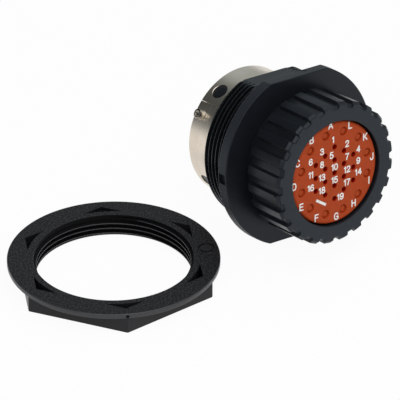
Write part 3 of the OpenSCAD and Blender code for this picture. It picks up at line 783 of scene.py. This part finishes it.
# panel nut: hexagon under a round flange, with corner pockets and an inside thread
nutLow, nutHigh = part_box("panel_nut")
nut = {"height": (nutHigh.z - nutLow.z) / mm, "flangeT": 1.5, "flangeR": 30.74, "flatR": 26.55, "steps": 300,
       "cornerSteps": (-0.5, -0.3, -0.15, 0.15, 0.3, 0.5), "cornerFillet": 0.4, "rootR": 23.15,
       "crestR": 22.3, "mouthR": 22.6, "mouthTop": 0.4, "mouthEdge": 0.1, "threadFoot": 0.9, "edge": 0.35,
       "underEdge": 0.2, "boreTop": ((0.1, 0), (0.03, 0.03), (0, 0.1)),  # widening, and depth under the face
       "hexFoot": ((0.25, 0), (0.07, 0.07), (0, 0.25)),  # inset and height
       "pocketBase": 25.1, "pocketFlat": 24.05, "pocketTip": 0.25, "pocketDepth": 4.2,
       "ringSpot": (24.06, -12.53), "ringR": 2.45, "ringWidth": 0.6, "ringDepth": 0.4, "notchAngle": 240,
       "notchZ": 5.6, "notchR": 0.55, "notchDepth": 0.8, "faceBand": 0.1, "faceSquare": 0.95,
       "rimBand": 0.7, "boreBand": 0.01, "crestBand": 0.2}
n = nut
nutX, nutY = mounts["nut_thread"]["pos_m"][:2]
nutPlace = Matrix.Translation((nutX, nutY, nutLow.z)) @ Matrix.Scale(mm, 4)
cosThirty = cos(radians(30))
filletMiddle = (n["flatR"] - n["cornerFillet"]) / cosThirty


def hexRadius(angle):
    # hexagon with a corner on the x axis, its corners rounded
    fromCorner = radians(abs((angle + 30) % 60 - 30))
    straight = n["flatR"] / cos(radians(30) - fromCorner)
    under = n["cornerFillet"] ** 2 - (filletMiddle * sin(fromCorner)) ** 2
    if under <= 0:
        return straight
    return min(straight, filletMiddle * cos(fromCorner) + sqrt(under))


nutAngles = evenAngles(n["steps"], [60 * k + d for k in range(6) for d in n["cornerSteps"]])
hexTop = n["height"] - n["flangeT"]
boreSide = [(n["rootR"] + wider, n["height"] - down) for wider, down in n["boreTop"]]
boreSide += [(n["rootR"], n["threadFoot"]), (n["mouthR"], n["mouthTop"]), (n["mouthR"], n["mouthEdge"]),
             (n["mouthR"] + n["mouthEdge"], 0)]
within = n["flangeR"] - 3  # any radius inside the rim
rimSide = rounded([(within, hexTop, 0), (n["flangeR"], hexTop, n["underEdge"]),
                   (n["flangeR"], n["height"], n["edge"]), (within, n["height"], 0)])[1:-1]
rings = [circle(r, z, nutAngles) for r, z in boreSide]
for inset, z in n["hexFoot"] + ((0, hexTop),):
    rings.append([circle(hexRadius(a) - inset, z, [a])[0] for a in nutAngles])
rings += [circle(r, z, nutAngles) for r, z in rimSide]
nutMesh = lofted("panel nut", rings, closed=True)

# corner pockets: an arc round the bore and two sides square to the flats, meeting in a small fillet
halfPocket = 30 - degrees(acos(n["pocketFlat"] / n["pocketBase"]))
tipMiddle = (n["pocketFlat"] - n["pocketTip"]) / cosThirty
pocketOutline = [(x, y) for x, y, z in circle(n["pocketBase"], 0, [halfPocket * k / 8 for k in range(-8, 9)])]
pocketOutline += [(tipMiddle + x, y) for x, y, z in circle(n["pocketTip"], 0, (30, 15, 0, -15, -30))]
pocket = lofted("corner pocket", [[(x, y, z) for x, y in pocketOutline]
                                  for z in (n["height"] - n["pocketDepth"], n["height"] + past)])
ringIn = n["ringR"] - n["ringWidth"]
ringCut = drill([
    (-n["ringDepth"], n["ringR"]), (past, n["ringR"]), (past, ringIn), (-n["ringDepth"], ringIn)], 48, True)
notch = roundCutter([(-n["notchDepth"], n["notchR"]), (past, n["notchR"])], 20)
nutMesh = punched(nutMesh, dryPolyamide, (pocket, circle(0.001, 0, range(0, 360, 60)), 1),
                  (ringCut, [(*n["ringSpot"], n["height"])], 0),
                  (notch, circle(n["flangeR"], n["notchZ"], [n["notchAngle"]]), 1))
nutPiece = makePiece("panel-nut", nutMesh, ["panel_nut"], sharp=28, place=nutPlace)
finishWhere(
    nutPiece, (sparkGrain, lambda spot, r, normal: (  # the face, without its round mark
        spot.z > n["height"] - n["faceBand"] and normal.z > n["faceSquare"]
        and dist(spot.xy, n["ringSpot"]) >= n["ringR"])),
    (rubbedAndPaintedHighlight, lambda spot, r, normal: spot.z > hexTop and r > n["flangeR"] - n["rimBand"]),
    # painted shade: the bore's wall is darkened
    (dullPaintedShade, lambda spot, r, normal: spot.z > n["mouthTop"] and r < n["rootR"] + n["boreBand"]),
    place=nutPlace)
# the ridge is darkened as painted shade, and its crests are made paler as a painted highlight below
nutThread = {"Radius": (n["rootR"] + n["crestR"] + sunk) / 2, "Pitch": panelThread["Pitch"], "Turns": 3.16,
             "Depth": n["rootR"] - n["crestR"] + sunk, "Crest": 0.22, "Root": 1.1, "Soften": 0.09,
             "Lean": inwards, "Start": (0, 0, 0.52), "Level": noFlat, "Finish": dullPaintedShade}
nutThreadPiece = makePiece("nut-thread", bakeTree("nut thread", threadTree, nutThread),
                           place=nutPlace)
# painted highlight: the thread's crests take the paler finish
finishWhere(nutThreadPiece, (rubbedAndPaintedHighlight, lambda spot, r, normal: r < n["crestR"] + n["crestBand"]),
            place=nutPlace)

# inner pieces keep the CAD's shape and get their own finishes
for node, finish in (("front_insert", filledPlastic), ("retention_disc", filledPlastic),
                     ("rear_insert", filledPlastic), ("grommet_follower", acetal)):
    data = frame["nodes"][node].data
    data.materials.clear()
    data.materials.append(finish)
print("pieces made")

# paper sweep: it shows white to the camera and to reflections, and keeps a trace of the shadow
sweep = {"reach": 4.0, "tooth": 1.5, "tones": ("F0F0F0", "F4F4F4"), "glow": 0.95}
paper = bpy.data.materials.new("white paper sweep")
paper.use_nodes = True
paper.node_tree.nodes.clear()
add = partial(addNode, paper.node_tree)
path = add("ShaderNodeLightPath").outputs
spot = add("ShaderNodeTexCoord").outputs["Object"]
tooth = add("ShaderNodeTexNoise", {"Vector": spot, "Scale": perMetre(sweep["tooth"]), "Detail": 2})
dark, light = (linearColour(shade) for shade in sweep["tones"])
tone = add("ShaderNodeMix", {0: tooth, 6: dark, 7: light}, data_type="RGBA")
matt = add("ShaderNodeBsdfDiffuse", {"Color": tone.outputs[2]})
glow = add("ShaderNodeEmission", {"Color": (1, 1, 1, 1), "Strength": 1.0})
mirrored = add("ShaderNodeMath", {
    0: path["Is Glossy Ray"], 1: path["Is Transmission Ray"]}, operation="MAXIMUM")
seen = add("ShaderNodeMath", {0: path["Is Camera Ray"], 1: mirrored}, operation="MAXIMUM")
lift = add("ShaderNodeMath", {0: seen, 1: sweep["glow"]}, operation="MULTIPLY")
add("ShaderNodeOutputMaterial", {"Surface": add("ShaderNodeMixShader", {0: lift, 1: matt, 2: glow})})
reach, floorZ = sweep["reach"], cadBox[0].z
floorMesh = bpy.data.meshes.new("floor")
floorMesh.from_pydata([(-reach, -reach, floorZ), (reach, -reach, floorZ), (reach, reach, floorZ),
                       (-reach, reach, floorZ)], [], [(0, 1, 2, 3)])
floorMesh.materials.append(paper)
floor = bpy.data.objects.new("floor", floorMesh)
scene.collection.objects.link(floor)

# room: cool grey walls, brighter overhead and to the right, with a dim opening high at the back
# each is a direction, the cosines between which it changes, and its strength or share at both
room = {"colour": "F0FBFF", "bright": ((0.4, 0, 0.92), (0.05, 0.95), (0.24, 0.7)),
        "opening": ((-0.34, 0.69, 0.64), (0.76, 0.95), (1.0, 0.15))}
world = bpy.data.worlds.new("studio")
scene.world = world
world.use_nodes = True
world.node_tree.nodes.clear()
add = partial(addNode, world.node_tree)
around = add("ShaderNodeTexCoord").outputs["Generated"]
shares = []
for direction, (start, end), (low, high) in (room["bright"], room["opening"]):
    toward = add("ShaderNodeVectorMath", {0: around, 1: direction}, operation="DOT_PRODUCT")
    shares.append(add("ShaderNodeMapRange", {0: toward.outputs["Value"], 1: start, 2: end, 3: low, 4: high}))
strength = add("ShaderNodeMath", {0: shares[0], 1: shares[1]}, operation="MULTIPLY")
walls = add("ShaderNodeBackground", {"Color": linearColour(room["colour"]), "Strength": strength})
add("ShaderNodeOutputWorld", {"Surface": walls})


def aimed(azimuth, elevation):
    # direction from the part towards a lamp or the camera
    a, e = radians(azimuth), radians(elevation)
    return Vector((sin(a) * cos(e), -cos(a) * cos(e), sin(e)))


def softbox(name, azimuth, elevation, distance, size, strength):
    # a square lamp aimed at the part; strength is the brightness of its face
    data = bpy.data.lights.new(name, "AREA")
    data.size = size
    data.energy = strength * pi * size * size
    lamp = bpy.data.objects.new(name, data)
    lamp.location = aimed(azimuth, elevation) * distance
    lamp.rotation_euler = (-lamp.location).to_track_quat("-Z", "Y").to_euler()
    scene.collection.objects.link(lamp)


softbox("overhead softbox", azimuth=25, elevation=70, distance=1.5, size=1.4, strength=1.0)
softbox("front softbox", azimuth=-40, elevation=40, distance=1.6, size=1.3, strength=1.5)

# camera: a long lens at the photograph's angle; centre is the image centre, right and up of the flange seat
view = {"azimuth": -38.23, "elevation": 31.55, "distance": 1.62, "lens": 502.9, "sensor": 36, "clipEnd": 50,
        "centre": (-26.45, -13.8)}
back = aimed(view["azimuth"], view["elevation"])
right = Vector((cos(radians(view["azimuth"])), sin(radians(view["azimuth"])), 0))
cameraData = bpy.data.cameras.new("camera")
cameraData.lens = view["lens"]
cameraData.sensor_width = view["sensor"]
cameraData.clip_end = view["clipEnd"]
camera = bpy.data.objects.new("camera", cameraData)
camera.location = ((right * view["centre"][0] + back.cross(right) * view["centre"][1]) * mm
                   + back * view["distance"])
camera.rotation_euler = (-back).to_track_quat("-Z", "Y").to_euler()
scene.collection.objects.link(camera)
scene.camera = camera
scene.view_settings.view_transform = "Standard"
print("stage set")
